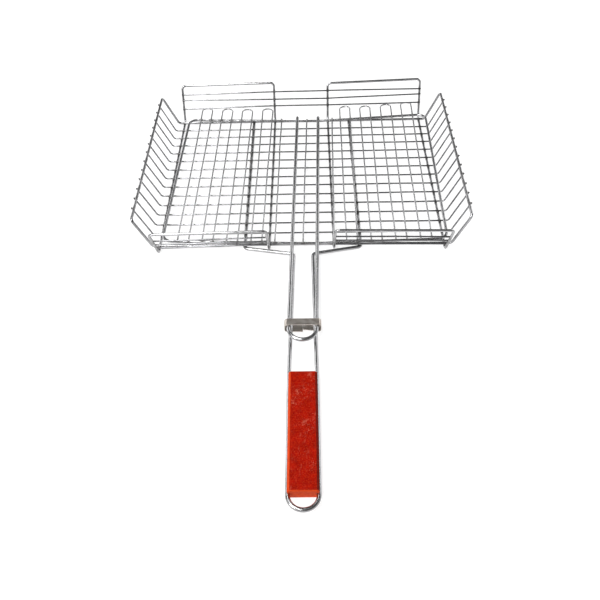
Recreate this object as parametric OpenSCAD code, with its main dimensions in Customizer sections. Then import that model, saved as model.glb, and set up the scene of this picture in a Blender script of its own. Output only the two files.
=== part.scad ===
// Grill basket with a loose flat lid, latched by a ring that slides along the handle.
// +Y runs from the handle to the far wall, +Z is up. The origin is the middle of the footprint,
// on the plane that the basket stands on.

/* [Floor] */
// Floor length along the handle, without the near edge wire's offset
floor_depth = 233; // [180:1:300]
// How much further out the near edge wire stands than the far one
near_edge_out = 2; // [0:0.1:2.5]
// Floor width between the feet of the side walls
floor_width = 324; // [324:1:340]
// Number of thin wires across the floor
cross_count = 13; // [6:1:13]

/* [Walls] */
// Height of the far and near rims above the floor loops
end_wall_height = 43.7; // [35:0.1:60]
// How far the far and near rims lean outwards
end_wall_lean = 19.2; // [5:0.1:25]
// Distance from a floor edge wire out to the foot of the far or near wall
end_wall_offset = 7.3; // [6:0.1:10]
// How much further out the near wall stands at its outer ends
near_splay = 3; // [0:0.1:4]
// Height of the side rims above the floor edge wires
side_wall_height = 38; // [30:0.1:50]
// How far the side rims lean outwards
side_wall_lean = 15.9; // [5:0.1:25]
// Middle line of a loop's wire nearest the handle
loop_inner = 35.1; // [25:0.1:40]
// Middle line of a loop's wire nearest the side wall
loop_outer = 155; // [120:0.1:156]

/* [Wires] */
// Thickness of the handle wires
handle_wire_d = 4; // [3.4:0.1:4]
// Thickness of the frame and loop wires
frame_wire_d = 3; // [2.4:0.1:3]
// Thickness of the thin wires
thin_wire_d = 1.8; // [1.5:0.1:2]
// Depth that a weld sinks one wire into the other
weld = 0.2; // [0.1:0.05:0.3]

/* [Handle] */
// Middle line of a handle wire where it runs under the floor
handle_under = 62.9; // [50:0.1:80]
// Middle line of a handle wire at the neck
neck_half = 10.8; // [10:0.1:12]
// Middle line of a handle wire along the grip
grip_half = 12.7; // [12:0.05:14]
// Distance from the floor centre to the end of the hang loop
handle_reach = 421.6; // [410:0.1:500]
// How far the handle sits to the right of the floor's middle
handle_right = 1.2; // [0:0.1:2]

/* [Grip] */
// Grip length
grip_length = 114.8; // [90:0.1:130]
// Grip width
grip_width = 26; // [25:0.1:28]
// Grip height
grip_height = 12.5; // [11:0.1:14]
// Width of the chamfers along the grip's long edges
grip_chamfer = 1.8; // [1:0.1:3]

/* [Clamp] */
// Outer width of the ring
clamp_width = 35.8; // [35.6:0.1:38]
// Length of the strip's face along the handle
clamp_strip = 8; // [5:0.1:10]
// Thickness of the strip
clamp_sheet = 0.8; // [0.6:0.1:1.2]
// Distance from the floor centre to the middle of the ring
clamp_reach = 235.2; // [200:0.1:237]

/* [Lid] */
// Half width of the lid, to the middle of its frame wire
lid_half_width = 153.8; // [148:0.1:154]
// Half length of the lid along the handle, to the middle of its frame wire
lid_half_depth = 116.2; // [110:0.1:116.5]
// Half distance between the legs of the lid handle
lid_handle_half = 13.55; // [12.5:0.05:13.9]
// How far the lid handle sits to the right of the lid's middle
lid_handle_right = 1.2; // [0:0.1:1.5]
// Distance from the lid's middle to the end of the lid handle
lid_handle_reach = 252.7; // [250:0.1:255]
// Distance from the lid's middle to the tips of its tongues
tongue_reach = 141.5; // [125:0.1:142]
// Distance between the two legs of a hairpin at its tongue
hairpin_gap = 13.5; // [11:0.1:14]
// Distance between the two legs of a hairpin at the near frame wire
hairpin_near_gap = 11.6; // [11:0.1:14]

/* [How the loose lid lies] */
// How far the lid lies to the right of the floor's middle
lid_right = 4.8; // [0:0.1:4.8]
// How far the lid lies towards the handle
lid_near = 4.2; // [4.2:0.1:4.6]
// Clockwise turn of the lid, in degrees
lid_turn = 1.2; // [0:0.1:1.2]
// Height of the lid's left edge above its middle
lid_rise_left = 3; // [0:0.1:5]
// Height of the lid's right edge above its middle, where it rides up the side wall
lid_rise_right = 9; // [0:0.1:9]

/* [Hidden] */
$fn = 48;
slack = 0.1;
// A bend is a hair thicker than the wire, and the straight wire reaches this far into it
bend_swell = 0.03;
bend_lap = 0.2;

// Share of a frame wire's thickness by which the lid's frame lies above the floor's edge wires
lid_nest = 0.9;

// Heights of the wire layers, from the floor up
under_top = handle_wire_d;
handle_under_z = handle_wire_d / 2;
loop_z = under_top - frame_wire_d / 2;
cross_z = under_top + thin_wire_d / 2 - weld;
edge_z = under_top + frame_wire_d / 2 - weld;
lid_frame_z = edge_z + frame_wire_d * lid_nest;
lid_top = lid_frame_z + frame_wire_d / 2 - weld;
hairpin_z = lid_top + thin_wire_d / 2;
lid_handle_z = lid_top + handle_wire_d / 2;
grip_z = grip_height / 2;

// How far wires reach past the wires they are welded to
thin_past_weld = 1;
handle_past_edge = 1.5;
lid_handle_past_frame = 3;
tip_past_rim = 1.6;

// Lengths along the handle: floor edge to floor bend, floor edge to neck, ring to the end of the spread,
// grip to the start of the hang loop
edge_to_bend = 4.2;
edge_to_neck = 18.6;
clamp_to_spread = 54;
grip_to_hang_loop = 0.3;

// Places along the handle, from the middle of the floor
edge_y = floor_depth / 2;
near_edge_y = edge_y + near_edge_out;
foot_y = edge_y + end_wall_offset;
rim_y = foot_y + end_wall_lean;
pitch = floor_depth / (cross_count + 1);
bend_y = edge_y + edge_to_bend;
neck_y = edge_y + edge_to_neck;
grip_end_y = handle_reach - handle_wire_d / 2 - grip_half - grip_to_hang_loop;
grip_start_y = grip_end_y - grip_length;
spread_y = clamp_reach + clamp_to_spread;

// The origin sits halfway between the hang loop's end and the far rim
floor_y = (handle_reach - rim_y - frame_wire_d / 2) / 2;

// Places across the side walls
side_foot_x = floor_width / 2;
side_rim_x = side_foot_x + side_wall_lean;
side_rim_z = edge_z + side_wall_height;
side_slope = [side_wall_lean, side_wall_height] / norm([side_wall_lean, side_wall_height]);
weld_pitch = (frame_wire_d + thin_wire_d) / 2 - weld;

// Bend radii, to the middle of the wire
floor_bend = 5;
rim_bend = 4.5;
thin_bend = 3.5;
lid_corner = 11;
neck_bend = 5;
spread_bend = 30;

// Heights of the rails as shares of the end walls' height
far_rails = [0.40, 0.59, 0.78];
near_rails = [0.19, 0.385, 0.59];

// The lid's frame wires are flat in the middle and bend up softly on both sides
lid_flat_half = 14;
lid_bow = 60;

// The end of a tongue is nearly a half circle, with this much less bend radius
tongue_flat = 0.5;

// Places of the lid's wires across the lid, at the far and the near frame wire: the first hairpin of a side
// and the pitch, and the lone wires
hairpins_per_side = 4;
far_left_hairpins = [52.1, 26.8];
far_right_hairpins = [50, 26.65];
near_left_hairpins = [51.1, 26.4];
near_right_hairpins = [52, 26.3];
lid_wires_far = [-33, 0, 33];
lid_wires_near = [-31, -0.7, 33];

function numbered(name, count) = [for (i = [1:count]) str(name, i)];

function unit(v) = v / norm(v);

// Puts children in a frame with the given axes and origin
module in_frame(x, y, z, origin) {
    multmatrix([
        [x[0], y[0], z[0], origin[0]],
        [x[1], y[1], z[1], origin[1]],
        [x[2], y[2], z[2], origin[2]],
        [0, 0, 0, 1]
    ])
        children();
}

// Straight round wire from a to b
module rod(a, b, d) {
    z = unit(b - a);
    x = unit(cross(abs(z[2]) < 0.9 ? [0, 0, 1] : [1, 0, 0], z));
    in_frame(x, cross(z, x), z, a)
        cylinder(h = norm(b - a), d = d);
}

// Straight stretch between the bends at its ends. It reaches a little way into each bend.
module stretch(a, b, from, to, d) {
    u = unit(b - a);
    start = from > 0 ? from - bend_lap : 0;
    end = norm(b - a) - (to > 0 ? to - bend_lap : 0);
    if (norm(b - a) - from - to > bend_lap)
        rod(a + u * start, a + u * end, d);
}

// Length that a bend of radius r takes from each side of corner i
function trim(p, i, r) =
    let (a = unit(p[i - 1] - p[i]), b = unit(p[i + 1] - p[i]))
    r * tan((180 - acos(a * b)) / 2);

// Bend of radius r at the corner, between wires that leave it along a and b
module bend(corner, a, b, r, d) {
    turn = 180 - acos(a * b);
    centre = corner + unit(a + b) * r / cos(turn / 2);
    x = unit(corner + a * r * tan(turn / 2) - centre);
    in_frame(x, -a, cross(x, -a), centre)
        rotate_extrude(angle = turn)
            translate([r, 0])
                circle(d = d + bend_swell);
}

// Open wire through the points p, with a bend radius for each inner point
module wire(p, radii, d) {
    last = len(p) - 1;
    for (i = [0:last - 1]) {
        from = i == 0 ? 0 : trim(p, i, radii[i - 1]);
        to = i == last - 1 ? 0 : trim(p, i + 1, radii[i]);
        stretch(p[i], p[i + 1], from, to, d);
    }
    for (i = [1:last - 1])
        bend(p[i], unit(p[i - 1] - p[i]), unit(p[i + 1] - p[i]), radii[i - 1], d);
}

// Closed wire through the points p
module ring(p, radii, d) {
    n = len(p);
    for (i = [0:n - 1]) {
        before = p[(i + n - 1) % n];
        next = p[(i + 1) % n];
        after = p[(i + 2) % n];
        from = trim([before, p[i], next], 1, radii[i]);
        to = trim([p[i], next, after], 1, radii[(i + 1) % n]);
        stretch(p[i], next, from, to, d);
        bend(p[i], unit(before - p[i]), unit(next - p[i]), radii[i], d);
    }
}

function mirrored(points) = [for (i = [len(points) - 1:-1:0]) [-points[i][0], points[i][1], points[i][2]]];

// A point of the far (end = 1) or near (end = -1) wall at a share of its height
function on_wall(x, share, end, inside = 0) =
    let (
        slope = unit([end_wall_lean, end_wall_height]),
        splay = end < 0 ? near_splay * (abs(x) - loop_inner) / (loop_outer - loop_inner) : 0
    )
    [
        x,
        end * (foot_y + splay + share * end_wall_lean - inside * slope[1]),
        loop_z + share * end_wall_height + inside * slope[0]
    ];

module outer_frame() {
    right = [
        [side_foot_x, -near_edge_y, edge_z],
        [side_rim_x, -near_edge_y, side_rim_z],
        [side_rim_x, edge_y, side_rim_z],
        [side_foot_x, edge_y, edge_z]
    ];
    radii = [floor_bend, rim_bend, rim_bend, floor_bend];
    color("silver")
        translate([0, floor_y, 0])
            ring(concat(right, mirrored(right)), concat(radii, radii), frame_wire_d);
}

module floor_loop(side) {
    inner = side * loop_inner;
    outer = side * loop_outer;
    points = [
        on_wall(inner, 1, -1),
        on_wall(inner, 0, -1),
        on_wall(inner, 0, 1),
        on_wall(inner, 1, 1),
        on_wall(outer, 1, 1),
        on_wall(outer, 0, 1),
        on_wall(outer, 0, -1),
        on_wall(outer, 1, -1)
    ];
    radii = [rim_bend, floor_bend, floor_bend, rim_bend];
    color("silver")
        translate([0, floor_y, 0])
            ring(points, concat(radii, radii), frame_wire_d);
}

module handle_wire() {
    right = [
        [handle_under - handle_right, edge_y + handle_past_edge, handle_under_z],
        [handle_under, -bend_y, handle_under_z],
        [neck_half, -neck_y, grip_z],
        [grip_half, -spread_y, grip_z],
        [grip_half, -handle_reach + handle_wire_d / 2, grip_z]
    ];
    left = concat(
        [for (i = [len(right) - 1:-1:1]) [-right[i][0], right[i][1], right[i][2]]],
        [[-handle_under - handle_right, edge_y + handle_past_edge, handle_under_z]]
    );
    radii = [neck_bend, neck_bend, spread_bend, grip_half, grip_half, spread_bend, neck_bend, neck_bend];
    color("silver")
        translate([handle_right, floor_y, 0])
            wire(concat(right, left), radii, handle_wire_d);
}

// A cross wire runs up the outside of the side walls
module cross_wire(i) {
    y = -edge_y + i * pitch;
    rise = edge_z - cross_z;
    foot_x = side_foot_x + weld_pitch / side_slope[1] - rise * side_slope[0] / side_slope[1];
    length = (side_rim_z - cross_z - weld_pitch * side_slope[0]) / side_slope[1] + tip_past_rim;
    right = [
        [foot_x + length * side_slope[0], y, cross_z + length * side_slope[1]],
        [foot_x, y, cross_z]
    ];
    color("gainsboro")
        translate([0, floor_y, 0])
            wire(concat(right, mirrored(right)), [thin_bend, thin_bend], thin_wire_d);
}

module rail(from_x, to_x, share, end) {
    a = on_wall(from_x - thin_past_weld, share, end, weld_pitch);
    b = on_wall(to_x + thin_past_weld, share, end, weld_pitch);
    color("gainsboro")
        translate([0, floor_y, 0])
            rod(a, b, thin_wire_d);
}

module grip() {
    w = grip_width / 2;
    h = grip_height / 2;
    c = grip_chamfer;
    groove = handle_wire_d + slack;
    top = [[w, h - c], [w - c, h], [c - w, h], [-w, h - c]];
    bottom = [[-w, c - h], [c - w, -h], [w - c, -h], [w, c - h]];
    color("firebrick")
        translate([handle_right, floor_y - grip_start_y, grip_z])
            rotate([90, 0, 0])
                difference() {
                    linear_extrude(height = grip_length)
                        polygon(concat(top, bottom));
                    for (side = [-1, 1])
                        translate([side * grip_half, 0, -1])
                            cylinder(h = grip_length + 2, d = groove);
                }
}

// Outline of a rectangle with round corners
module round_rectangle(w, h, r) {
    union() {
        square([w - 2 * r, h], center = true);
        square([w, h - 2 * r], center = true);
        for (x = [-1, 1], y = [-1, 1])
            translate([x * (w / 2 - r), y * (h / 2 - r)])
                circle(r = r);
    }
}

module clamp() {
    inner_top = lid_handle_z + handle_wire_d / 2 + slack;
    inner_height = 9.4;
    inner_corner = 2.4;
    seam = 0.6;
    color("rosybrown")
        translate([handle_right, floor_y - clamp_reach + clamp_strip / 2, inner_top - inner_height / 2])
            rotate([90, 0, 0])
                difference() {
                    linear_extrude(height = clamp_strip)
                        round_rectangle(clamp_width, inner_height + 2 * clamp_sheet,
                            inner_corner + clamp_sheet);
                    translate([0, 0, -1])
                        linear_extrude(height = clamp_strip + 2)
                            round_rectangle(clamp_width - 2 * clamp_sheet, inner_height, inner_corner);
                    translate([-seam / 2, -inner_height, -1])
                        cube([seam, inner_height, clamp_strip + 2]);
                }
}

// Puts a lid wire, drawn about the lid's own middle, where the lid lies in the basket
module in_lid_place() {
    translate([lid_right, floor_y - lid_near, 0])
        rotate([0, 0, -lid_turn])
            children();
}

// How much higher the lid's wires lie at x than in the lid's middle
function rise(x) =
    (x > 0 ? lid_rise_right : lid_rise_left)
    * max(0, abs(x) - lid_flat_half) / (lid_half_width - lid_flat_half);

module lid_frame() {
    across = [lid_half_width, lid_flat_half, -lid_flat_half, -lid_half_width];
    far = [for (x = across) [x, lid_half_depth, lid_frame_z + rise(x)]];
    near = [for (i = [3:-1:0]) [across[i], -lid_half_depth, lid_frame_z + rise(across[i])]];
    radii = [lid_corner, lid_bow, lid_bow, lid_corner];
    color("silver")
        in_lid_place()
            ring(concat(far, near), concat(radii, radii), frame_wire_d);
}

module lid_handle() {
    far_end = lid_half_depth + lid_handle_past_frame;
    near_end = -lid_handle_reach + handle_wire_d / 2;
    right = [
        [lid_handle_half, far_end, lid_handle_z],
        [lid_handle_half, near_end, lid_handle_z]
    ];
    color("silver")
        in_lid_place()
            translate([lid_handle_right, 0, 0])
                wire(concat(right, mirrored(right)), [lid_handle_half, lid_handle_half], handle_wire_d);
}

// Middle of hairpin i, counted from the left side of the lid, where a side's first and pitch are given
function hairpin_x(i, left, right) =
    i < hairpins_per_side
        ? -left[0] - (hairpins_per_side - 1 - i) * left[1]
        : right[0] + (i - hairpins_per_side) * right[1];

// A point of a thin lid wire, which lies on the bent frame wires
function on_lid(x, y) = [x, y, hairpin_z + rise(x)];

module hairpin(i) {
    far_x = hairpin_x(i, far_left_hairpins, far_right_hairpins);
    near_x = hairpin_x(i, near_left_hairpins, near_right_hairpins);
    near_end = -lid_half_depth - thin_past_weld;
    tip = tongue_reach - thin_wire_d / 2;
    half = hairpin_gap / 2;
    near_half = hairpin_near_gap / 2;
    points = [
        on_lid(near_x + near_half, near_end),
        on_lid(far_x + half, tip),
        on_lid(far_x - half, tip),
        on_lid(near_x - near_half, near_end)
    ];
    color("gainsboro")
        in_lid_place()
            wire(points, [half - tongue_flat, half - tongue_flat], thin_wire_d);
}

module lid_wire(i) {
    reach = lid_half_depth + thin_past_weld;
    near_x = lid_wires_near[i];
    far_x = lid_wires_far[i];
    color("gainsboro")
        in_lid_place()
            rod(on_lid(near_x, -reach), on_lid(far_x, reach), thin_wire_d);
}

outer_frame();
floor_loop(-1);  // left_loop
floor_loop(1);  // right_loop
handle_wire();
grip();
clamp();
lid_frame();
lid_handle();
for (i = [1:cross_count])
    cross_wire(i);
for (i = [1:len(far_rails)])
    rail(-loop_outer, loop_outer, far_rails[i - 1], 1);
for (i = [1:len(near_rails)])
    rail(-loop_outer, -loop_inner, near_rails[i - 1], -1);
for (i = [1:len(near_rails)])
    rail(loop_inner, loop_outer, near_rails[i - 1], -1);
for (i = [1:2 * hairpins_per_side])
    hairpin(i - 1);
for (i = [1:len(lid_wires_far)])
    lid_wire(i - 1);
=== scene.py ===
import math
import random

import bpy
import numpy as np
from mathutils import Matrix, Vector


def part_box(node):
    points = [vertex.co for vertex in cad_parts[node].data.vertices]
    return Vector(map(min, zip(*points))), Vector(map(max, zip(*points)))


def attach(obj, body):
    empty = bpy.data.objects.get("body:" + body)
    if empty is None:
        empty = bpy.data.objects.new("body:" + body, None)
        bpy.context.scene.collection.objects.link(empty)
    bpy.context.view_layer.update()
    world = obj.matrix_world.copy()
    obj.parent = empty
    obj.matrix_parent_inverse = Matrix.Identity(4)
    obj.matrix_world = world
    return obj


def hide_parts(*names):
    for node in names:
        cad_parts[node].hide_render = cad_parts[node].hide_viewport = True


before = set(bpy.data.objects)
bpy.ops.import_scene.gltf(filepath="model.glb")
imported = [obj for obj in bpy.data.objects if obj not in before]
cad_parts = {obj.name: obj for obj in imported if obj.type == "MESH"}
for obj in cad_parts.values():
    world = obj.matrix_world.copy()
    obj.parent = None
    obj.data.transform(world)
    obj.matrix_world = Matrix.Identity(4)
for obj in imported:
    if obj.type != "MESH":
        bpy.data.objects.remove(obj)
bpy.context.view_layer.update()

# A grill basket of welded, plated wire: walls and floor, a loose flat lid that hooks under the lowest
# far rail, a sliding ring that holds the lid's handle down, and a red painted wooden grip.
# Sizes are in millimetres. +Y runs from the hang loop to the far wall, +Z is up.
MM = 0.001

# ---- Wires ----
# Diameters of the three kinds of wire, and how deep welded wires are sunk into each other
THICK = 4.0
FRAME = 3.0
THIN = 1.8
WELD = 0.2

# Points along a wire's middle line: their spacing, how close two points are one, and the largest turn
# from one to the next in a bend. SIDES are the facets round each kind of wire
STEP = 2.5
SAME_POINT = 0.01
BEND_STEP = math.radians(6)
SIDES = {THICK: 20, FRAME: 18, THIN: 14}

# ---- Basket ----
# The floor, whose near edge lies a little further out than its far one
CROSS_COUNT = 13
FLOOR_HALF_DEPTH = 116.5
FLOOR_HALF_WIDTH = 162
NEAR_EDGE_OUT = 2

# The far and near walls, from their feet past the floor's edges up to their rims, and how far the
# inner legs of the two loops stand from the basket's middle
EDGE_TO_FOOT = 7.3
END_WALL_LEAN = 19.2
END_WALL_HEIGHT = 43.7
WALL_SLANT = END_WALL_LEAN / END_WALL_HEIGHT
LOOP_INNER = 35.1
RAILS_PER_WALL = 3

# Bend radii. The last two are of rails and edges that are only slightly bent
FLOOR_BEND = 5
RIM_BEND = 4.5
CROSS_BEND = 3.5
RAIL_BEND = 60
NEAR_EDGE_BEND = 60

# The hand work: how much higher the far rims stand at their left and right ends, and the far rails
# at each of the four legs they cross
FAR_RIM_TALLER = {"left_loop": (-1.7, 0), "right_loop": (-1.7, 1.3)}
RAIL_HIGHER = {
    "far_rail_1": (-2.2, 0, 0, 0.9),
    "far_rail_2": (-0.2, -0.7, -0.8, 2.4),
    "far_rail_3": (-2.3, -0.2, -0.1, 0),
}

# On the near side: how much further out the panels' outer legs stand, how much further in their feet
# and rims lie than in the CAD, and how far the floor's edge runs out towards its right corner
NEAR_SPLAY = 3
NEAR_FOOT_IN = 1.0
NEAR_RIM_IN = 0.6
NEAR_RIGHT_CORNER_OUT = 2.0

# ---- Handle ----
# From its middle to its wires, at the neck by the basket and along the grip. The left neck is squeezed
# further in
NECK_HALF = 10.8
LEFT_NECK_IN = 1.4
GRIP_HALF = 12.7

# Bend radii, and how far towards the grip each bend lies: where the wires turn in and where the neck
# begins, both from the floor's edge, and where it has spread to the grip's width, from the ring
NECK_BEND = 5
SPREAD_BEND = 30
BEND_PAST_EDGE = 4.2
NECK_PAST_EDGE = 18.6
SPREAD_PAST_CLAMP = 54

# ---- Lid, drawn about its own middle ----
# How it lies in the basket: moved to the right and towards the handle, and turned
LID_RIGHT = 4.8
LID_NEAR = 4.2
LID_TURN = math.radians(1.2)

# Its frame, flat in the middle and rising towards both ends, on the right less at the near side
LID_HALF_WIDTH = 153.8
LID_HALF_DEPTH = 116.2
LID_FRAME_Z = 8.0
LID_CORNER = 11
LID_BOW = 60
LID_FLAT_HALF = 14
LID_RISE_LEFT = 3
LID_RISE_RIGHT = 9
LID_NEAR_RISE_RIGHT = 6.8

# Its handle, from just past the far side of the frame to the U-bend between the ring and the grip
LID_HANDLE_HALF = 13.55
LID_HANDLE_RIGHT = 1.2
LID_HANDLE_REACH = 252.7
LID_HANDLE_PAST_FRAME = 3
LID_HANDLE_Z = 11.3

# Its thin wires, and the tongues in which the hairpins end, some longer than others
THIN_PAST_WELD = 1
HAIRPIN_Z = 10.2
TONGUE_REACH = 141.5
TONGUE_FLAT = 0.5
TONGUE_LONGER = (-0.9, -1.4, -2.0, 0, 2.0, 0, 0.6, 2.0)

# Across the lid, at its far and near frame wire: first hairpin of a side and pitch, gap between legs
HAIRPINS_PER_SIDE = 4
FAR_LEFT_HAIRPINS = (52.1, 26.8)
FAR_RIGHT_HAIRPINS = (50, 26.65)
NEAR_LEFT_HAIRPINS = (51.1, 26.4)
NEAR_RIGHT_HAIRPINS = (52, 26.3)
FAR_GAP = 13.5
NEAR_GAP = 11.6
LID_WIRES = ((-33, -31), (0, -0.7), (33, 33))
LID_WIRE_REACH = LID_HALF_DEPTH + THIN_PAST_WELD

# ---- Grip ----
# Edges: the chamfer along them, in which shares of it points lie, the round of the ends, and how far
# the wear runs on past an edge
GRIP_CHAMFER = 1.8
CHAMFER_SHARES = (0, 0.08, 0.5, 0.92, 1)
GRIP_ROUND = 0.5
WORN_WIDTH = 0.5
GRIP_RINGS = 40

# Wear: 1 is worn to orange, -1 is painted shade, a dark red on the right edges, which face away from the
# light. The far end is less worn than the near one, and so are the middles of the two end faces
RIGHT_EDGE_SHADE = 0.7
FAR_END_WORN = 0.4
NEAR_FACE_WORN = 0.9
FAR_FACE_WORN = 0.3

# The grooves that hold the handle's wires
GROOVE_PLAY = 0.05
GROOVE_POINTS = 13

# ---- Ring ----
# The strip's thickness, the radii of its bends and of its soft edges, the gap of its seam, and how far
# the strip's right end runs askew at the seam
RING_SHEET = 0.8
RING_CORNER = 2.8
RING_SOFT = 0.18
RING_SEAM = 0.15
RING_STEP = 2.6

# ---- Welds ----
# How far the heat stained the wires, how far apart two wires may lie and still be welded, and how far
# apart two welds of one pair are at least. Wires whose directions have a larger cosine don't cross
HEAT_REACH = 3.2
WELD_REACH = 0.7
WELDS_APART = 8
CROSSING = 0.8

# A bead: how far it shows past the wires, its thickness and lumps, and the rows and columns of its mesh
BEAD_PAST_WIRE = 0.15
BEAD_THICK = 0.42
BEAD_LUMPS = 0.08
BEAD_ROWS = 6
BEAD_COLUMNS = 10

# ---- Camera, as the photograph sees the basket ----
CAMERA_PLACE = (9.46, -497.14, 497.39)
CAMERA_DOWN = math.radians(48.46)
CAMERA_ROLL = math.radians(-1.88)
CAMERA_YAW = math.radians(-1.45)
LENS = 39.3
SENSOR = 36

# ---- Colours ----
# The paint: its two reds, brighter spots, pale specks and scratches, worn edges, and the painted shade of
# the right edges
PAINT_DARK = (0.23, 0.002, 0.0002)
PAINT_LIGHT = (0.36, 0.005, 0.0005)
PAINT_BRIGHT = (0.56, 0.035, 0.006)
PAINT_PALE = (0.62, 0.17, 0.11)
PAINT_WORN = (0.62, 0.062, 0.010)
PAINT_SHADE = (0.07, 0.004, 0.001)

# Bare metals: the ring's strip and the welds
STRIP_DARK = (0.40, 0.35, 0.31)
STRIP_LIGHT = (0.58, 0.54, 0.50)
STRIP_LINES = (0.72, 0.69, 0.66)
WELD_DARK = (0.10, 0.095, 0.09)
WELD_LIGHT = (0.30, 0.29, 0.28)

# ---- Stage ----
# A white floor that also glows, light from all round that fades from the horizon up, and area lights:
# place, what they point at and size in metres, and radiance
FLOOR_SIZE = 12.0
FLOOR_GLOW = 0.84
SKY_HEIGHTS = (0.05, 0.4)
SKY_STRENGTHS = (0.8, 0.12)
LIGHTS = {
    "key": ((-1.7, -1.2, 1.7), (0, 0, 0), (0.9, 0.9), 17),
    "overhead_left": ((-0.50, -0.6, 2.1), (-0.1, -0.6, 0), (2.8, 0.32), 11.0),
    "far_left": ((-1.7, 1.4, 1.1), (0, 0, 0), (1.6, 1.2), 2.4),
    "far_right": ((1.7, 1.4, 1.1), (0, 0, 0), (1.6, 1.2), 2.0),
}

# Seeds of the hand-made unevenness. Each wire has its own, counted on from its body's
BASKET_SEED = 100
LID_SEED = 300
BASKET_WELD_SEED = 7
LID_WELD_SEED = 11
GRIP_SEED = 5


def box_mm(node):
    """Lowest and highest corner of a CAD node, in millimetres."""
    lo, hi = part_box(node)
    return np.array(lo) / MM, np.array(hi) / MM


def unit(v):
    return v / np.linalg.norm(v)


# ---- Middle lines ----

def straight(a, b):
    """Points from a to b, a step apart, without b. None where the two are the same point."""
    length = np.linalg.norm(b - a)
    if length < SAME_POINT:
        return []
    count = max(1, round(length / STEP))
    return [a + (b - a) * i / count for i in range(count)]


def arc(before, corner, after, radius):
    """Points of the bend at a corner, from where one side ends to where the other begins."""
    a = unit(before - corner)
    b = unit(after - corner)
    turn = math.pi - math.acos(float(np.clip(a @ b, -1, 1)))
    start = corner + a * radius * math.tan(turn / 2)
    centre = corner + unit(a + b) * radius / math.cos(turn / 2)
    out = unit(start - centre)
    count = max(3, math.ceil(turn / BEND_STEP))
    return [centre + radius * (math.cos(turn * i / count) * out - math.sin(turn * i / count) * a)
            for i in range(count + 1)]


def bent(points, radii, closed=False):
    """Middle line of a bent wire: straight between corners, with an arc of its own radius at each."""
    p = [np.array(point, float) for point in points]
    n = len(p)
    corners = range(n) if closed else range(1, n - 1)
    bends = [arc(p[i - 1], p[i], p[(i + 1) % n], radii[k]) for k, i in enumerate(corners)]
    if not closed:
        bends = [[p[0]]] + bends + [[p[-1]]]
    line = []
    for k, this in enumerate(bends):
        line += this[:-1]
        if closed or k < len(bends) - 1:
            line += straight(this[-1], bends[(k + 1) % len(bends)][0])
        else:
            line.append(this[-1])
    return np.array(line)


def wander(line, amount, seed, closed):
    """The line with a slight hand-made unevenness, of up to about amount along x, y and z."""
    draw = random.Random(seed)
    steps = np.linalg.norm(np.diff(line, axis=0, append=line[:1] if closed else line[-1:]), axis=1)
    along = np.concatenate([[0], np.cumsum(steps)[:-1]])
    length = steps.sum()
    moved = line.copy()
    for axis in range(3):
        for waves in (1, 2, 3, 5):
            turns = waves if closed else waves * draw.uniform(0.6, 1.1)
            phase = draw.uniform(0, 2 * math.pi)
            size = amount[axis] * draw.uniform(0.25, 0.6) / waves ** 0.5
            moved[:, axis] += size * np.sin(2 * math.pi * turns * along / length + phase)
    return moved


# ---- Swept wires ----

def frames(line, closed):
    """Directions across the line at each point, carried along it without twisting."""
    ahead = np.roll(line, -1, axis=0)
    behind = np.roll(line, 1, axis=0)
    if not closed:
        ahead[-1] = line[-1]
        behind[0] = line[0]
    along = ahead - behind
    along /= np.linalg.norm(along, axis=1)[:, None]
    first = unit(np.cross(along[0], (0, 0, 1) if abs(along[0][2]) < 0.9 else (1, 0, 0)))
    across = [first]
    for t in along[1:]:
        across.append(unit(across[-1] - t * (across[-1] @ t)))
    across = np.array(across)
    over = np.cross(along, across)
    if closed:
        last = unit(across[-1] - along[0] * (across[-1] @ along[0]))
        twist = math.atan2(last @ over[0], last @ across[0])
        angle = -twist * np.arange(len(line)) / len(line)
        across, over = (across * np.cos(angle)[:, None] + over * np.sin(angle)[:, None],
                        over * np.cos(angle)[:, None] - across * np.sin(angle)[:, None])
    return along, across, over


# How a cut end closes: distance past the last point and radius, both as shares of the wire's radius
CUT_END = ((0.0, 1.0), (0.12, 0.97), (0.24, 0.86), (0.30, 0.62))


def tube(name, line, d, closed, welds):
    """A round wire along the line. welds are the points where another wire is welded on."""
    along, across, over = frames(line, closed)
    r = d / 2
    sides = SIDES[d]
    rings = [(line[i], r, i) for i in range(len(line))]
    if not closed:
        first = [(line[0] - along[0] * share * r, size * r, 0) for share, size in CUT_END[:0:-1]]
        last = [(line[-1] + along[-1] * share * r, size * r, len(line) - 1) for share, size in CUT_END[1:]]
        rings = first + rings + last
    angles = 2 * math.pi * np.arange(sides) / sides
    verts = []
    for centre, radius, i in rings:
        verts += [centre + radius * (math.cos(a) * across[i] + math.sin(a) * over[i]) for a in angles]
    faces = []
    count = len(rings)
    for k in range(count if closed else count - 1):
        here, there = k * sides, (k + 1) % count * sides
        for s in range(sides):
            t = (s + 1) % sides
            faces.append((here + s, here + t, there + t, there + s))
    if not closed:
        tip = CUT_END[-1][0] * r
        verts += [line[0] - along[0] * tip, line[-1] + along[-1] * tip]
        low, high = len(verts) - 2, len(verts) - 1
        top = (count - 1) * sides
        for s in range(sides):
            t = (s + 1) % sides
            faces += [(low, t, s), (high, top + s, top + t)]
    return mesh_object(name, np.array(verts), faces, stain=heat(np.array(verts), welds))


def heat(verts, welds):
    """How much the welds' heat stained each point: 1 at a weld, fading out over a few millimetres."""
    nearest = np.full(len(verts), np.inf)
    for weld in welds:
        nearest = np.minimum(nearest, ((verts - weld) ** 2).sum(axis=1))
    return np.exp(-nearest / HEAT_REACH ** 2)


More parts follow.
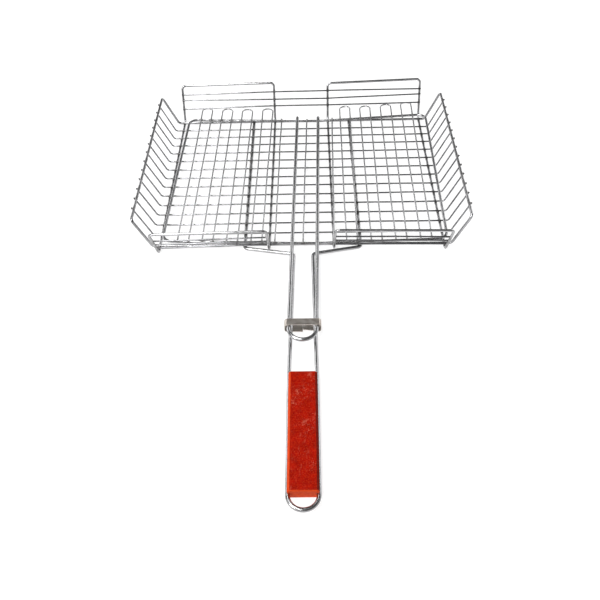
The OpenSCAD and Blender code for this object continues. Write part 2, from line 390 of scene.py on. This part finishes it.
def mesh_object(name, verts, faces, stain=None, smooth=True):
    """An object from points in millimetres and faces. Materials read stain as an attribute."""
    mesh = bpy.data.meshes.new(name)
    points = [tuple(v) for v in np.asarray(verts) * MM]
    mesh.from_pydata(points, [], [tuple(int(i) for i in face) for face in faces])
    mesh.validate()
    if smooth:
        mesh.shade_smooth()
    if stain is not None:
        attribute = mesh.attributes.new("stain", "FLOAT", "POINT")
        attribute.data.foreach_set("value", np.asarray(stain, np.float32))
    obj = bpy.data.objects.new(name, mesh)
    bpy.context.scene.collection.objects.link(obj)
    return obj


def hard_edges(obj, degrees):
    """Ends the smooth shading at edges where the surface turns more sharply than this."""
    split = obj.modifiers.new("edges", "EDGE_SPLIT")
    split.split_angle = math.radians(degrees)


def stand_for(obj, node, body, material):
    """obj takes the place of a CAD node, which is hidden: it joins the body and takes the look."""
    obj.data.materials.append(material)
    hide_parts(node)
    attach(obj, body)


# ---- Materials ----

RANGE_INPUTS = ("From Min", "From Max", "To Min", "To Max")
NOISE_ROUGHNESS = 0.55


class Nodes:
    """Short ways to add nodes to a material and join them."""

    def __init__(self, name):
        self.material = bpy.data.materials.new(name)
        self.material.use_nodes = True
        self.tree = self.material.node_tree
        self.shader = self.tree.nodes["Principled BSDF"]
        self.place = self.tree.nodes.new("ShaderNodeTexCoord").outputs["Object"]

    def set(self, socket, value):
        if isinstance(value, bpy.types.NodeSocket):
            self.tree.links.new(value, socket)
        elif socket.type == "RGBA" and len(value) == 3:
            socket.default_value = (*value, 1)
        else:
            socket.default_value = value

    def noise(self, per_metre, detail=3, stretch=(1, 1, 1)):
        """Noise with that many cells a metre, from 0 to 1."""
        scale = self.tree.nodes.new("ShaderNodeMapping")
        scale.inputs["Scale"].default_value = [per_metre * s for s in stretch]
        self.set(scale.inputs["Vector"], self.place)
        noise = self.tree.nodes.new("ShaderNodeTexNoise")
        noise.inputs["Scale"].default_value = 1
        noise.inputs["Detail"].default_value = detail
        noise.inputs["Roughness"].default_value = NOISE_ROUGHNESS
        self.set(noise.inputs["Vector"], scale.outputs["Vector"])
        return noise.outputs["Fac"]

    def ramp(self, value, low, high, out=(0, 1)):
        """value, stretched so that low..high becomes out, and held at its ends."""
        node = self.tree.nodes.new("ShaderNodeMapRange")
        node.clamp = True
        self.set(node.inputs["Value"], value)
        for name, number in zip(RANGE_INPUTS, (low, high, *out)):
            node.inputs[name].default_value = number
        return node.outputs["Result"]

    def mix(self, factor, a, b):
        node = self.tree.nodes.new("ShaderNodeMix")
        node.data_type = "RGBA"
        self.set(node.inputs["Factor"], factor)
        self.set(node.inputs[6], a)
        self.set(node.inputs[7], b)
        return node.outputs[2]

    def math(self, operation, a, b):
        node = self.tree.nodes.new("ShaderNodeMath")
        node.operation = operation
        self.set(node.inputs[0], a)
        self.set(node.inputs[1], b)
        return node.outputs["Value"]

    def attribute(self, name):
        node = self.tree.nodes.new("ShaderNodeAttribute")
        node.attribute_name = name
        return node.outputs["Fac"]

    def bump(self, height, depth_mm, strength):
        node = self.tree.nodes.new("ShaderNodeBump")
        node.inputs["Strength"].default_value = strength
        node.inputs["Distance"].default_value = depth_mm * MM
        self.set(node.inputs["Height"], height)
        self.set(self.shader.inputs["Normal"], node.outputs["Normal"])

    def finish(self, color, roughness, metallic=0.0, coat=0.0, coat_roughness=0.1, specular=0.5):
        self.set(self.shader.inputs["Base Color"], color)
        self.set(self.shader.inputs["Roughness"], roughness)
        self.set(self.shader.inputs["Metallic"], metallic)
        self.shader.inputs["Specular IOR Level"].default_value = specular
        self.shader.inputs["Coat Weight"].default_value = coat
        self.shader.inputs["Coat Roughness"].default_value = coat_roughness
        return self.material


def plated_wire(name, bright, dull, stained, rough, grain):
    """Plated steel wire: bright plating with dull patches, dark round the welds, and a fine uneven skin."""
    n = Nodes(name)
    patches = n.ramp(n.noise(55, detail=4), 0.42, 0.62)
    specks = n.ramp(n.noise(900, detail=2), 0.62, 0.72, (0, 0.35))
    color = n.mix(n.math("MAXIMUM", patches, specks), bright, dull)
    stain = n.math("MULTIPLY", n.attribute("stain"), n.ramp(n.noise(400, detail=2), 0.3, 0.6, (0.45, 1)))
    color = n.mix(stain, color, stained)
    roughness = n.ramp(n.noise(180, detail=3), 0.3, 0.7, rough)
    roughness = n.math("ADD", roughness, n.math("MULTIPLY", stain, 0.15))
    n.bump(n.noise(1400, detail=3), 0.03, grain)
    return n.finish(color, roughness, metallic=1.0)


def weld_metal():
    """Metal pressed out at a spot weld: dull and dark, with a grainy skin."""
    n = Nodes("weld_metal")
    color = n.mix(n.ramp(n.noise(700, detail=3), 0.35, 0.65), WELD_DARK, WELD_LIGHT)
    n.bump(n.noise(1600, detail=4), 0.06, 0.6)
    return n.finish(color, n.ramp(n.noise(900), 0.3, 0.7, (0.4, 0.62)), metallic=1.0)


def strip_steel():
    """Rolled strip: a cloudy warm grey, with fine bright lines along the roll."""
    n = Nodes("strip_steel")
    lines = n.noise(1500, detail=3, stretch=(0.06, 1, 1))
    clouds = n.ramp(n.noise(140, detail=3), 0.35, 0.65)
    color = n.mix(clouds, STRIP_DARK, STRIP_LIGHT)
    color = n.mix(n.ramp(lines, 0.5, 0.75, (0, 0.5)), color, STRIP_LINES)
    n.bump(lines, 0.04, 0.4)
    return n.finish(color, n.ramp(lines, 0.3, 0.7, (0.28, 0.46)), metallic=1.0)


def grip_paint():
    """Red paint on wood: mottled, orange on worn edges, with painted shade on the right ones, and pale
    specks.
    """
    n = Nodes("grip_paint")
    red = n.mix(n.ramp(n.noise(160, detail=5), 0.35, 0.65), PAINT_DARK, PAINT_LIGHT)
    red = n.mix(n.ramp(n.noise(800, detail=3), 0.45, 0.68, (0, 0.5)), red, PAINT_BRIGHT)
    specks = n.ramp(n.noise(1100, detail=2), 0.58, 0.68, (0, 0.6))
    scratches = n.ramp(n.noise(420, detail=3, stretch=(1, 0.4, 1)), 0.60, 0.68, (0, 0.5))
    rubbed = n.ramp(n.noise(38, detail=2), 0.44, 0.58, (0.15, 1))
    marks = n.math("MULTIPLY", n.math("MAXIMUM", specks, scratches), rubbed)
    color = n.mix(marks, red, PAINT_PALE)
    worn = n.ramp(n.attribute("stain"), 0, 1)
    worn = n.math("MULTIPLY", worn, n.ramp(n.noise(420, detail=4), 0.25, 0.6, (0.55, 1)))
    color = n.mix(worn, color, PAINT_WORN)
    # Painted shade: the right edges, which face away from the light, turned a dark red
    color = n.mix(n.ramp(n.attribute("stain"), -1, 0, (1, 0)), color, PAINT_SHADE)
    n.bump(n.noise(500, detail=4, stretch=(1, 0.35, 1)), 0.12, 0.3)
    roughness = n.ramp(n.noise(260), 0.3, 0.7, (0.34, 0.5))
    return n.finish(color, roughness, coat=0.01, coat_roughness=0.2, specular=0.03)


# One plated finish in five copies, lighter or darker as painted light and shade: lightest for the lid's
# wires on top, darkest for the basket's thin wires under the lid
HANDLE_METAL = plated_wire("plated_handle_wire", bright=(0.46, 0.46, 0.47), dull=(0.38, 0.38, 0.385),
                           stained=(0.05, 0.045, 0.04), rough=(0.20, 0.28), grain=0.04)
FRAME_METAL = plated_wire("plated_frame_wire", bright=(0.42, 0.42, 0.43), dull=(0.29, 0.29, 0.295),
                          stained=(0.04, 0.035, 0.03), rough=(0.16, 0.26), grain=0.05)
LOOP_METAL = plated_wire("plated_loop_wire", bright=(0.49, 0.49, 0.50), dull=(0.35, 0.35, 0.355),
                         stained=(0.03, 0.027, 0.025), rough=(0.16, 0.26), grain=0.05)
THIN_METAL = plated_wire("plated_thin_wire", bright=(0.28, 0.28, 0.29), dull=(0.18, 0.18, 0.185),
                         stained=(0.05, 0.045, 0.04), rough=(0.12, 0.22), grain=0.06)
LID_METAL = plated_wire("plated_lid_wire", bright=(0.54, 0.54, 0.55), dull=(0.43, 0.43, 0.435),
                        stained=(0.12, 0.11, 0.10), rough=(0.18, 0.30), grain=0.08)
WELD_METAL = weld_metal()
BASKET_METAL = {THICK: HANDLE_METAL, FRAME: FRAME_METAL, THIN: THIN_METAL}


# ---- Weld beads ----

def bead(centre, direction_a, direction_b, d_a, d_b, draw):
    """Points and faces of the metal squeezed out where two crossing wires meet."""
    out = unit(np.cross(direction_a, direction_b))
    size_a = d_b * 0.5 * draw.uniform(0.85, 1.15) + BEAD_PAST_WIRE
    size_b = d_a * 0.5 * draw.uniform(0.85, 1.15) + BEAD_PAST_WIRE
    thick = BEAD_THICK * draw.uniform(0.85, 1.2)
    rows, columns = BEAD_ROWS, BEAD_COLUMNS
    verts = [centre + out * thick]
    for i in range(1, rows):
        polar = math.pi * i / rows
        for j in range(columns):
            turn = 2 * math.pi * j / columns
            swell = 1 + BEAD_LUMPS * math.sin(3 * turn + draw.random())
            verts.append(centre + swell * math.sin(polar) * (
                size_a * math.cos(turn) * direction_a + size_b * math.sin(turn) * direction_b)
                + out * thick * math.cos(polar))
    verts.append(centre - out * thick)
    faces = []
    last = len(verts) - 1
    for j in range(columns):
        k = (j + 1) % columns
        faces.append((0, 1 + j, 1 + k))
        faces.append((last, last - columns + k, last - columns + j))
        for i in range(rows - 2):
            a, b = 1 + i * columns, 1 + (i + 1) * columns
            faces.append((a + j, b + j, b + k, a + k))
    return verts, faces


def refine(line_a, i, line_b, j):
    """The closest points of the straight stretches at i and j."""
    a0, a1 = line_a[max(i - 1, 0)], line_a[min(i + 1, len(line_a) - 1)]
    b0, b1 = line_b[max(j - 1, 0)], line_b[min(j + 1, len(line_b) - 1)]
    u, v = unit(a1 - a0), unit(b1 - b0)
    w = line_a[i] - line_b[j]
    slant = u @ v
    below = 1 - slant ** 2
    s = (slant * (v @ w) - u @ w) / below
    t = (v @ w - slant * (u @ w)) / below
    limit_a = np.linalg.norm(a1 - a0)
    s, t = np.clip(s, -limit_a, limit_a), np.clip(t, -STEP * 2, STEP * 2)
    return line_a[i] + u * s, line_b[j] + v * t, u, v


class Welds:
    """Finds where wires are welded to one another, for the stains on them and for the beads."""

    def __init__(self):
        self.lines = {}
        self.points = {}
        self.found = []

    def add(self, name, line, d):
        self.lines[name] = (line, d)
        self.points[name] = []

    def join(self, a, b):
        """Records each place where wires a and b are welded."""
        line_a, d_a = self.lines[a]
        line_b, d_b = self.lines[b]
        touching = (d_a + d_b) / 2 + WELD_REACH
        gaps = np.sqrt(((line_a[:, None, :] - line_b[None, :, :]) ** 2).sum(axis=2))
        while gaps.min() < touching + STEP:
            i, j = np.unravel_index(gaps.argmin(), gaps.shape)
            on_a, on_b, u, v = refine(line_a, i, line_b, j)
            near = np.linalg.norm(line_a - line_a[i], axis=1) < WELDS_APART
            gaps[near] = np.inf
            if np.linalg.norm(on_a - on_b) > touching or abs(u @ v) > CROSSING:
                continue
            centre = (on_a * d_b + on_b * d_a) / (d_a + d_b)
            self.points[a].append(centre)
            self.points[b].append(centre)
            self.found.append((centre, u, v, d_a, d_b))

    def beads(self, name, body, seed):
        draw = random.Random(seed)
        verts, faces = [], []
        for weld in self.found:
            more, around = bead(*weld, draw)
            faces += [tuple(i + len(verts) for i in face) for face in around]
            verts += more
        obj = mesh_object(name, np.array(verts), faces, stain=np.ones(len(verts)))
        obj.data.materials.append(WELD_METAL)
        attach(obj, body)


# ---- Basket ----

def mirrored(points):
    """The points on the other side of the basket's middle, in the order that goes on from them."""
    return [(-x, y, z) for x, y, z in reversed(points)]


def floor_middle():
    """The y of the floor's middle."""
    _, hi = box_mm("outer_frame")
    return hi[1] - FRAME / 2 - FLOOR_HALF_DEPTH


def side_wall():
    """The x and z of the right side wall's foot, and those of its rim."""
    lo, hi = box_mm("outer_frame")
    return (FLOOR_HALF_WIDTH, lo[2] + FRAME / 2), (hi[0] - FRAME / 2, hi[2] - FRAME / 2)


def outer_frame_line():
    """The near and far edge of the floor and the rims of both side walls, in one closed wire."""
    (foot_x, foot_z), (rim_x, rim_z) = side_wall()
    far_y = floor_middle() + FLOOR_HALF_DEPTH
    near_y = floor_middle() - FLOOR_HALF_DEPTH - NEAR_EDGE_OUT

    def right_side(corner_y):
        return [(foot_x, corner_y, foot_z), (rim_x, corner_y, rim_z),
                (rim_x, far_y, rim_z), (foot_x, far_y, foot_z)]

    points = right_side(near_y - NEAR_RIGHT_CORNER_OUT) + mirrored(right_side(near_y))
    points.append((0, near_y, foot_z))
    radii = [FLOOR_BEND, RIM_BEND, RIM_BEND, FLOOR_BEND]
    return bent(points, radii * 2 + [NEAR_EDGE_BEND], True)


def loop_line(name):
    """A closed wire under the floor, bent up at both ends into a panel of the near and the far wall."""
    lo, hi = box_mm(name)
    middle = floor_middle()
    foot_z, rim_z = lo[2] + FRAME / 2, hi[2] - FRAME / 2
    foot = FLOOR_HALF_DEPTH + EDGE_TO_FOOT
    rim = foot + END_WALL_LEAN
    points = []
    for x, taller in zip((lo[0] + FRAME / 2, hi[0] - FRAME / 2), FAR_RIM_TALLER[name]):
        splay = NEAR_SPLAY if abs(x) > FLOOR_HALF_WIDTH / 2 else 0
        leg = [
            (x, middle - rim - splay + NEAR_RIM_IN, rim_z),
            (x, middle - foot - splay + NEAR_FOOT_IN, foot_z),
            (x, middle + foot, foot_z),
            (x, middle + rim + taller * WALL_SLANT, rim_z + taller),
        ]
        points += leg[::-1] if points else leg
    radii = [RIM_BEND, FLOOR_BEND, FLOOR_BEND, RIM_BEND]
    return bent(points, radii * 2, True)


def handle_line():
    """From the far floor edge, under the floor, in to the handle, round the hang loop and back."""
    lo, hi = box_mm("handle_wire")
    grip_lo, grip_hi = box_mm("grip")
    clamp_lo, clamp_hi = box_mm("clamp")
    near_y = floor_middle() - FLOOR_HALF_DEPTH
    spread_y = (clamp_lo[1] + clamp_hi[1]) / 2 - SPREAD_PAST_CLAMP
    shift = (grip_lo[0] + grip_hi[0]) / 2
    grip_z = hi[2] - THICK / 2
    under_x = lo[0] + THICK / 2
    left = [
        (under_x, hi[1], THICK / 2),
        (under_x + shift, near_y - BEND_PAST_EDGE, THICK / 2),
        (shift - NECK_HALF, near_y - NECK_PAST_EDGE, grip_z),
        (shift - GRIP_HALF, spread_y, grip_z),
        (shift - GRIP_HALF, lo[1] + THICK / 2, grip_z),
    ]
    right = [(2 * shift - x, y, z) for x, y, z in reversed(left[1:])] + [(-under_x, hi[1], THICK / 2)]
    left[2] = (left[2][0] + LEFT_NECK_IN, *left[2][1:])
    radii = [NECK_BEND, NECK_BEND, SPREAD_BEND, GRIP_HALF]
    return bent(left + right, radii + radii[::-1])


def cross_line(name):
    """A wire across the floor and up the outside of both side walls."""
    lo, hi = box_mm(name)
    (wall_x, wall_z), (rim_x, rim_z) = side_wall()
    y = (lo[1] + hi[1]) / 2
    floor_z = lo[2] + THIN / 2
    slope = unit(np.array([rim_x - wall_x, rim_z - wall_z]))
    outside = (FRAME + THIN) / 2 - WELD
    foot_x = wall_x + outside / slope[1] - (wall_z - floor_z) * slope[0] / slope[1]
    tip_z = hi[2] - THIN / 2 * slope[0]
    tip_x = foot_x + (tip_z - floor_z) * slope[0] / slope[1]
    right = [(tip_x, y, tip_z), (foot_x, y, floor_z)]
    return bent(right + mirrored(right), [CROSS_BEND] * 2)


def rail_line(name):
    """A rail of the far wall, bent a little at the legs it crosses, or a straight one of a near panel."""
    lo, hi = box_mm(name)
    z = (lo[2] + hi[2]) / 2
    if name in RAIL_HIGHER:
        y = (lo[1] + hi[1]) / 2
        legs = (lo[0], -LOOP_INNER, LOOP_INNER, hi[0])
        points = [(x, y + up * WALL_SLANT, z + up) for x, up in zip(legs, RAIL_HIGHER[name])]
    elif "left" in name:
        points = [(lo[0], lo[1] + THIN / 2, z), (hi[0], hi[1] - THIN / 2, z)]
    else:
        points = [(lo[0], hi[1] - THIN / 2, z), (hi[0], lo[1] + THIN / 2, z)]
    return bent(points, [RAIL_BEND] * (len(points) - 2))


def basket_lines():
    """Middle line, diameter and whether it is closed, for each wire of the basket."""
    wires = {"outer_frame": (outer_frame_line(), FRAME, True)}
    for name in ("left_loop", "right_loop"):
        wires[name] = (loop_line(name), FRAME, True)
    wires["handle_wire"] = (handle_line(), THICK, False)
    for i in range(CROSS_COUNT):
        wires[f"cross_wire_{i + 1}"] = (cross_line(f"cross_wire_{i + 1}"), THIN, False)
    for wall in ("far", "near_left", "near_right"):
        for i in range(RAILS_PER_WALL):
            wires[f"{wall}_rail_{i + 1}"] = (rail_line(f"{wall}_rail_{i + 1}"), THIN, False)
    return wires


# How far each kind of wire strays from its true line, along x, y and z
BASKET_STRAY = {
    "outer": (0.25, 0.2, 0.12),
    "left": (0.25, 0.2, 0.06),
    "right": (0.25, 0.2, 0.06),
    "handle": (0.12, 0, 0.05),
    "cross": (0, 0.45, 0.05),
    "far": (0, 0.12, 0.2),
    "near": (0, 0.12, 0.2),
}


def make_basket():
    wires = basket_lines()
    welds = Welds()
    for seed, (name, (line, d, closed)) in enumerate(wires.items()):
        line = wander(line, BASKET_STRAY[name.split("_")[0]], BASKET_SEED + seed, closed)
        wires[name] = (line, d, closed)
        welds.add(name, line, d)
    for name in wires:
        if name.startswith("cross_wire"):
            for other in ("outer_frame", "left_loop", "right_loop", "handle_wire"):
                welds.join(name, other)
        elif "rail" in name:
            for other in ("left_loop", "right_loop"):
                welds.join(name, other)
    for name in ("left_loop", "right_loop", "handle_wire"):
        welds.join(name, "outer_frame")
    for name, (line, d, closed) in wires.items():
        obj = tube(name + "_rod", line, d, closed, welds.points[name])
        metal = LOOP_METAL if name.endswith("loop") else BASKET_METAL[d]
        stand_for(obj, name, "basket", metal)
    welds.beads("basket_welds", "basket", BASKET_WELD_SEED)


# ---- Lid ----

def rise(x, y):
    """How much higher the lid's wires lie at x, y than in the lid's middle."""
    far_share = (1 + y / LID_HALF_DEPTH) / 2
    right = LID_NEAR_RISE_RIGHT + (LID_RISE_RIGHT - LID_NEAR_RISE_RIGHT) * far_share
    edge = right if x > 0 else LID_RISE_LEFT
    return edge * max(0, abs(x) - LID_FLAT_HALF) / (LID_HALF_WIDTH - LID_FLAT_HALF)


def laid(line):
    """A line drawn about the lid's own middle, moved to where the lid lies in the basket."""
    place = np.array([LID_RIGHT, floor_middle() - LID_NEAR, 0])
    turn = np.array(Matrix.Rotation(-LID_TURN, 3, "Z"))
    return line @ turn.T + place


def hairpin_x(i, left, right):
    """Middle of hairpin i, counted from the lid's left side, from each side's first hairpin and pitch."""
    if i < HAIRPINS_PER_SIDE:
        return -left[0] - (HAIRPINS_PER_SIDE - 1 - i) * left[1]
    return right[0] + (i - HAIRPINS_PER_SIDE) * right[1]


def on_lid(x, y):
    return x, y, HAIRPIN_Z + rise(x, y)


def lid_frame_line():
    """A rectangle with rounded corners, its sides flat in the middle and rising to both ends."""
    across = (LID_HALF_WIDTH, LID_FLAT_HALF, -LID_FLAT_HALF, -LID_HALF_WIDTH)
    far = [(x, LID_HALF_DEPTH, LID_FRAME_Z + rise(x, LID_HALF_DEPTH)) for x in across]
    near = [(x, -LID_HALF_DEPTH, LID_FRAME_Z + rise(x, -LID_HALF_DEPTH)) for x in reversed(across)]
    radii = [LID_CORNER, LID_BOW, LID_BOW, LID_CORNER]
    return bent(far + near, radii * 2, True)


def lid_handle_line():
    """Two legs that start past the frame's far side and are joined by a U-bend."""
    far_end = (LID_HALF_DEPTH + LID_HANDLE_PAST_FRAME, LID_HANDLE_Z)
    near_end = (THICK / 2 - LID_HANDLE_REACH, LID_HANDLE_Z)
    right, left = LID_HANDLE_RIGHT + LID_HANDLE_HALF, LID_HANDLE_RIGHT - LID_HANDLE_HALF
    points = [(right, *far_end), (right, *near_end), (left, *near_end), (left, *far_end)]
    return bent(points, [LID_HANDLE_HALF] * 2)


def hairpin_line(i):
    """Two legs that start at the frame's near side and are joined by the tongue past its far side."""
    far = hairpin_x(i, FAR_LEFT_HAIRPINS, FAR_RIGHT_HAIRPINS)
    near = hairpin_x(i, NEAR_LEFT_HAIRPINS, NEAR_RIGHT_HAIRPINS)
    tip = TONGUE_REACH - THIN / 2 + TONGUE_LONGER[i]
    points = [
        on_lid(near + NEAR_GAP / 2, -LID_WIRE_REACH),
        on_lid(far + FAR_GAP / 2, tip),
        on_lid(far - FAR_GAP / 2, tip),
        on_lid(near - NEAR_GAP / 2, -LID_WIRE_REACH),
    ]
    return bent(points, [FAR_GAP / 2 - TONGUE_FLAT] * 2)


def lid_lines():
    """Middle line, diameter and whether it is closed, for each wire of the lid, about its own middle."""
    wires = {
        "lid_frame": (lid_frame_line(), FRAME, True),
        "lid_handle": (lid_handle_line(), THICK, False),
    }
    for i in range(2 * HAIRPINS_PER_SIDE):
        wires[f"hairpin_{i + 1}"] = (hairpin_line(i), THIN, False)
    for i, (far, near) in enumerate(LID_WIRES):
        line = bent([on_lid(near, -LID_WIRE_REACH), on_lid(far, LID_WIRE_REACH)], [])
        wires[f"lid_wire_{i + 1}"] = (line, THIN, False)
    return wires


# How far each kind of wire strays from its true line, along x, y and z
LID_STRAY = {
    "lid_frame": (0.3, 0.2, 0.1),
    "lid_handle": (0.12, 0, 0.06),
    "hairpin": (0.4, 0, 0.06),
    "lid_wire": (0.4, 0, 0.06),
}


def make_lid():
    wires = {name: (laid(line), d, closed) for name, (line, d, closed) in lid_lines().items()}
    welds = Welds()
    for seed, (name, (line, d, closed)) in enumerate(wires.items()):
        stray = next(amount for kind, amount in LID_STRAY.items() if name.startswith(kind))
        line = wander(line, stray, LID_SEED + seed, closed)
        wires[name] = (line, d, closed)
        welds.add(name, line, d)
    for name in wires:
        if name != "lid_frame":
            welds.join(name, "lid_frame")
    for name, (line, d, closed) in wires.items():
        obj = tube(name + "_rod", line, d, closed, welds.points[name])
        stand_for(obj, name, "lid", LID_METAL if d == THIN else BASKET_METAL[d])
    welds.beads("lid_welds", "lid", LID_WELD_SEED)


# ---- Grip ----

def grip_section(w, h, shrink):
    """Points round the bar, with a groove along each side, and at each how worn it is (1) and how much
    painted shade darkens it (-1).
    """
    c = GRIP_CHAMFER
    fresh = c + WORN_WIDTH
    groove = THICK / 2 + GROOVE_PLAY
    chamfer = [(w - c * (1 - t), h - c * t, 1.0) for t in CHAMFER_SHARES]
    edge = [(w - fresh, h, 0.0)] + chamfer + [(w, h - fresh, 0.0)]
    open_turn = math.pi - math.acos((w - GRIP_HALF) / groove)
    side = [(GRIP_HALF - groove * math.cos(a), groove * math.sin(a), 0.0)
            for a in np.linspace(-open_turn, open_turn, GROOVE_POINTS)]
    right = [(x, -z, worn) for x, z, worn in edge] + side + edge[::-1]
    # The right side's edges get painted shade in place of wear, as they face away from the light
    outline = [(x, z, -worn * RIGHT_EDGE_SHADE) for x, z, worn in right]
    outline += [(-x, z, worn) for x, z, worn in reversed(right)]
    return [(x * (1 - shrink / w), z * (1 - shrink / h), worn) for x, z, worn in outline]


def make_grip():
    lo, hi = box_mm("grip")
    w, h = (hi[0] - lo[0]) / 2, (hi[2] - lo[2]) / 2
    x0, z0 = (lo[0] + hi[0]) / 2, (lo[2] + hi[2]) / 2
    draw = random.Random(GRIP_SEED)
    r = GRIP_ROUND
    # An end's rings: how far in from the end, how much smaller than the bar, and how worn
    ends = [(0, 3 * r, 1.0), (0, r, 1.0), (0.3 * r, 0.3 * r, 1.0), (r, 0, 0.8), (r + WORN_WIDTH, 0, 0.0)]
    middle = np.linspace(lo[1] + ends[-1][0], hi[1] - ends[-1][0], GRIP_RINGS)[1:-1]
    rings = [(lo[1] + inward, shrink, worn) for inward, shrink, worn in ends]
    rings += [(y, 0, 0.0) for y in middle]
    rings += [(hi[1] - inward, shrink, worn * FAR_END_WORN) for inward, shrink, worn in reversed(ends)]
    # stain holds the wear (above 0) and the painted shade of the right edges (below 0)
    verts, stain = [], []
    for y, shrink, end_worn in rings:
        for x, z, worn in grip_section(w, h, shrink):
            rub = draw.uniform(0.7, 1.0)
            verts.append((x + x0, y, z + z0))
            stain.append(end_worn or worn * rub)
    n = len(verts) // len(rings)
    verts += [(x0, rings[0][0], z0), (x0, rings[-1][0], z0)]
    stain += [NEAR_FACE_WORN, FAR_FACE_WORN]
    near, far = len(verts) - 2, len(verts) - 1
    top = (len(rings) - 1) * n
    faces = []
    for s in range(n):
        t = (s + 1) % n
        for k in range(len(rings) - 1):
            faces.append((k * n + s, (k + 1) * n + s, (k + 1) * n + t, k * n + t))
        faces += [(near, s, t), (far, top + t, top + s)]
    obj = mesh_object("grip_block", verts, faces, stain=stain)
    hard_edges(obj, degrees=28)
    stand_for(obj, "grip", "basket", grip_paint())


# ---- Ring ----

def ring_line(w, h, z0):
    """Middle line of the strip, from the seam's right side, round the ring, to the seam's left side."""
    corners = [(w, 0, -h), (w, 0, h), (-w, 0, h), (-w, 0, -h)]
    points = [(RING_SEAM / 2, 0, -h)] + corners + [(-RING_SEAM / 2, 0, -h)]
    line = bent(points, [RING_CORNER] * 4)
    line[:, 2] += z0
    return line


def strip_section(half):
    """Points round the strip's cut, across and through it, with its four edges softened."""
    t = RING_SHEET / 2
    soft = RING_SOFT
    corner = [(half - soft, t), (half - soft / 3, t - soft / 3), (half, t - soft)]
    near_side = corner + [(across, -thick) for across, thick in reversed(corner)]
    return near_side + [(-across, -thick) for across, thick in near_side]


def make_ring():
    lo, hi = box_mm("clamp")
    w = (hi[0] - lo[0] - RING_SHEET) / 2
    h = (hi[2] - lo[2] - RING_SHEET) / 2
    x0, y0 = (lo[0] + hi[0]) / 2, (lo[1] + hi[1]) / 2
    section = strip_section((hi[1] - lo[1]) / 2)
    line = ring_line(w, h, (lo[2] + hi[2]) / 2)
    along, _, _ = frames(line, False)
    out = np.cross(along, (0, 1, 0))
    out /= np.linalg.norm(out, axis=1)[:, None]
    verts = []
    for i, centre in enumerate(line):
        slope = 0.0
        if 0 < centre[0] < w - RING_CORNER and centre[2] < lo[2] + RING_SHEET:
            slope = RING_STEP * (1 - centre[0] / (w - RING_CORNER))
        for across, thick in section:
            place = centre + out[i] * thick
            verts.append((x0 + place[0], y0 + across + slope, place[2]))
    n = len(section)
    faces = []
    for k in range(len(line) - 1):
        for s in range(n):
            u = (s + 1) % n
            faces.append((k * n + s, k * n + u, (k + 1) * n + u, (k + 1) * n + s))
    faces.append(tuple(reversed(range(n))))
    last = (len(line) - 1) * n
    faces.append(tuple(range(last, last + n)))
    obj = mesh_object("clamp_strip", verts, faces)
    hard_edges(obj, degrees=20)
    stand_for(obj, "clamp", "clamp", strip_steel())


# ---- Stage ----

def floor_material():
    """White paper lit from below as well, so that shadows on it stay faint."""
    n = Nodes("pale_floor")
    color = n.mix(n.ramp(n.noise(1.2, detail=2), 0.3, 0.7), (0.26, 0.26, 0.26), (0.28, 0.28, 0.28))
    n.shader.inputs["Emission Color"].default_value = (1, 1, 1, 1)
    n.shader.inputs["Emission Strength"].default_value = FLOOR_GLOW
    return n.finish(color, 0.9)


def make_floor():
    half = FLOOR_SIZE / 2 / MM
    corners = [(-half, -half, 0), (half, -half, 0), (half, half, 0), (-half, half, 0)]
    floor = mesh_object("floor", corners, [(0, 1, 2, 3)], smooth=False)
    floor.data.materials.append(floor_material())


def area_light(name, place, target, size, radiance):
    light = bpy.data.lights.new(name, "AREA")
    light.shape = "RECTANGLE"
    light.size, light.size_y = size
    light.energy = radiance * math.pi * size[0] * size[1]
    obj = bpy.data.objects.new(name, light)
    bpy.context.scene.collection.objects.link(obj)
    obj.location = place
    obj.rotation_euler = (Vector(target) - Vector(place)).to_track_quat("-Z", "Y").to_euler()


def make_sky():
    """Light from all round, strong up to just above the horizon and faint overhead."""
    world = bpy.data.worlds.new("studio")
    bpy.context.scene.world = world
    world.use_nodes = True
    tree = world.node_tree
    direction = tree.nodes.new("ShaderNodeSeparateXYZ")
    tree.links.new(tree.nodes.new("ShaderNodeTexCoord").outputs["Generated"], direction.inputs[0])
    height = tree.nodes.new("ShaderNodeMapRange")
    height.clamp = True
    for name, number in zip(RANGE_INPUTS, (*SKY_HEIGHTS, *SKY_STRENGTHS)):
        height.inputs[name].default_value = number
    tree.links.new(direction.outputs["Z"], height.inputs["Value"])
    tree.links.new(height.outputs["Result"], tree.nodes["Background"].inputs["Strength"])
    tree.nodes["Background"].inputs["Color"].default_value = (1, 1, 1, 1)


def make_lights():
    for name, light in LIGHTS.items():
        area_light(name, *light)


def make_camera():
    data = bpy.data.cameras.new("camera")
    data.lens = LENS
    data.sensor_width = SENSOR
    data.clip_start = 0.01
    camera = bpy.data.objects.new("camera", data)
    bpy.context.scene.collection.objects.link(camera)
    flat = math.cos(CAMERA_DOWN)
    ahead = np.array([math.sin(CAMERA_YAW) * flat, math.cos(CAMERA_YAW) * flat, -math.sin(CAMERA_DOWN)])
    level = np.array([math.cos(CAMERA_YAW), -math.sin(CAMERA_YAW), 0])
    up = np.cross(level, ahead)
    c, s = math.cos(CAMERA_ROLL), math.sin(CAMERA_ROLL)
    right, up = c * level + s * up, -s * level + c * up
    turn = Matrix([right, up, -ahead]).transposed().to_4x4()
    camera.matrix_world = Matrix.Translation(Vector(CAMERA_PLACE) * MM) @ turn
    bpy.context.scene.camera = camera


make_camera()
make_floor()
make_sky()
make_lights()
make_basket()
make_lid()
make_grip()
make_ring()
bpy.context.scene.view_settings.view_transform = "Standard"
